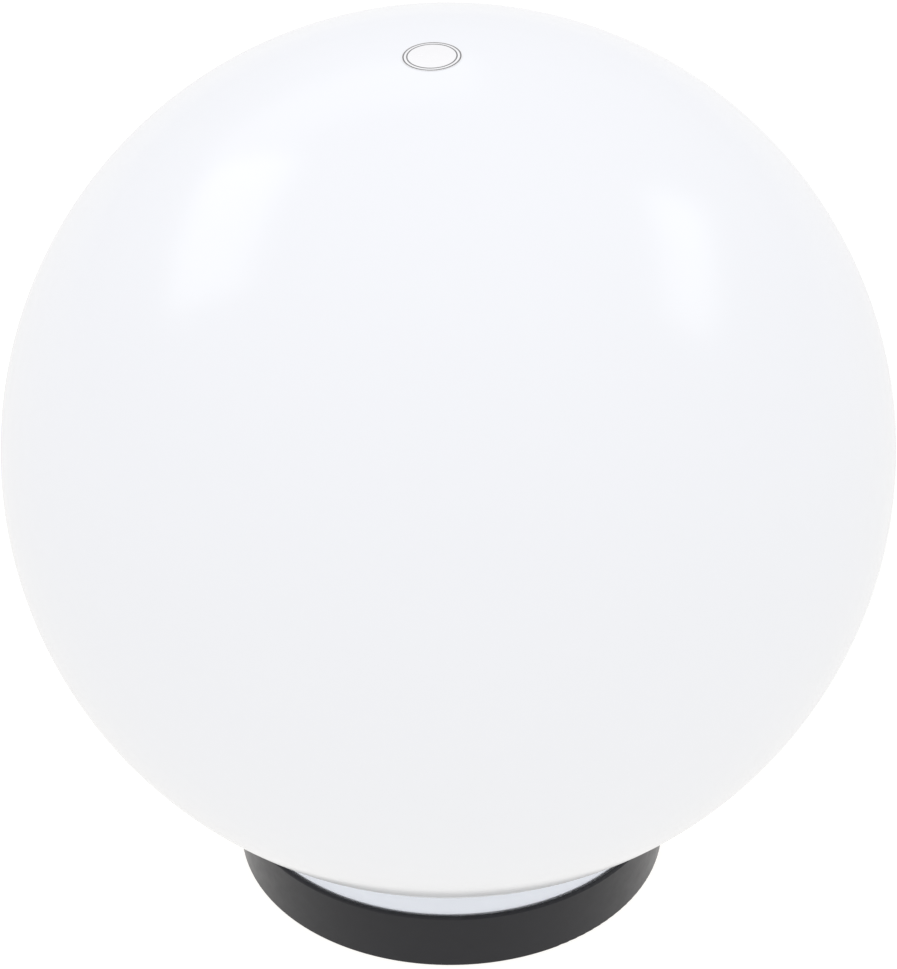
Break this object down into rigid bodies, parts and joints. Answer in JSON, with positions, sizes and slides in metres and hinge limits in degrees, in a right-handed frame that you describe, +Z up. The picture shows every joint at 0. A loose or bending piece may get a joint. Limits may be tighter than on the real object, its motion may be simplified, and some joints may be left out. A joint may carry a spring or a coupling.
{
  "type": "garden globe light",
  "caption": "Opal acrylic ball on a low round twist-lock base, with a screw lampholder and bulb inside, for lighting a garden path or gate post.",
  "frame": {"origin": "middle of the base's resting face, on the floor", "axes": "+Z up through the middle of the ball, -Y to the front, +Y to the rear where the cable leaves"},
  "size_m": [0.2999, 0.3, 0.3131],
  "materials": {
    "opal_acrylic": "opal white acrylic, smooth gloss",
    "label_film": "thin printed film, bare but for two rings",
    "seal_rubber": "soft black rubber",
    "base_plastic": "charcoal moulded plastic, satin",
    "holder_plastic": "black moulded plastic",
    "block_nylon": "natural nylon",
    "insert_ceramic": "off-white fired ceramic",
    "steel_screw": "bright zinc plated steel",
    "zinc_steel": "zinc plated steel",
    "brass": "plain brass",
    "wire_brown": "brown wire insulation",
    "wire_blue": "blue wire insulation",
    "bulb_metal": "bright aluminium",
    "bulb_glass": "black fused glass",
    "bulb_plastic": "white moulded plastic",
    "bulb_opal": "opal frosted plastic",
    "circuit_board": "green circuit board",
    "led_yellow": "yellow phosphor"
  },
  "bodies": {
    "base": {"base_housing": "base_plastic", "bottom_cover": "base_plastic", "cover_seal": "seal_rubber", "cover_screws": "steel_screw", "cable_grommet": "seal_rubber", "cord_clamp": "holder_plastic", "clamp_screws": "steel_screw", "terminal_block": "block_nylon", "terminal_contacts": "brass", "terminal_screws": "steel_screw", "block_screw": "steel_screw", "live_lead": "wire_brown", "neutral_lead": "wire_blue", "threaded_nipple": "zinc_steel", "nipple_washer": "zinc_steel", "nipple_nut": "zinc_steel", "lampholder_cap": "holder_plastic", "lampholder_shell": "holder_plastic", "lampholder_insert": "insert_ceramic", "thread_sleeve": "brass", "centre_contact": "brass", "side_contact": "brass", "holder_terminals": "brass", "holder_screws": "steel_screw"},
    "seal": {"neck_seal": "seal_rubber"},
    "globe": {"globe_shell": "opal_acrylic", "globe_label": "label_film"},
    "bulb_tip": {"bulb_tip_contact": "zinc_steel"},
    "bulb": {"bulb_insulator": "bulb_glass", "bulb_cap": "bulb_metal", "bulb_housing": "bulb_plastic", "bulb_driver": "circuit_board", "led_board": "bulb_metal", "led_chips": "led_yellow", "bulb_diffuser": "bulb_opal"}
  },
  "joints": [
    {"name": "globe_lift", "type": "slide", "parent": "base", "child": "seal", "axis": [0, 0, 1], "range_m": [0, 0.19]},
    {"name": "globe_twist", "type": "hinge", "parent": "seal", "child": "globe", "pos_m": [0, 0, 0.0155], "axis": [0, 0, -1], "range_deg": [0, 22]},
    {"name": "bulb_rise", "type": "slide", "parent": "base", "child": "bulb_tip", "axis": [0, 0, 1], "range_m": [0, 0.0115]},
    {"name": "bulb_turn", "type": "hinge", "parent": "bulb_tip", "child": "bulb", "pos_m": [0, 0, 0.07], "axis": [0, 0, 1], "range_deg": [0, 1080]}
  ],
  "couplings": [
    {"joint": "bulb_rise", "follows": "bulb_turn", "m_per_rad": 0.00057757}
  ]
}
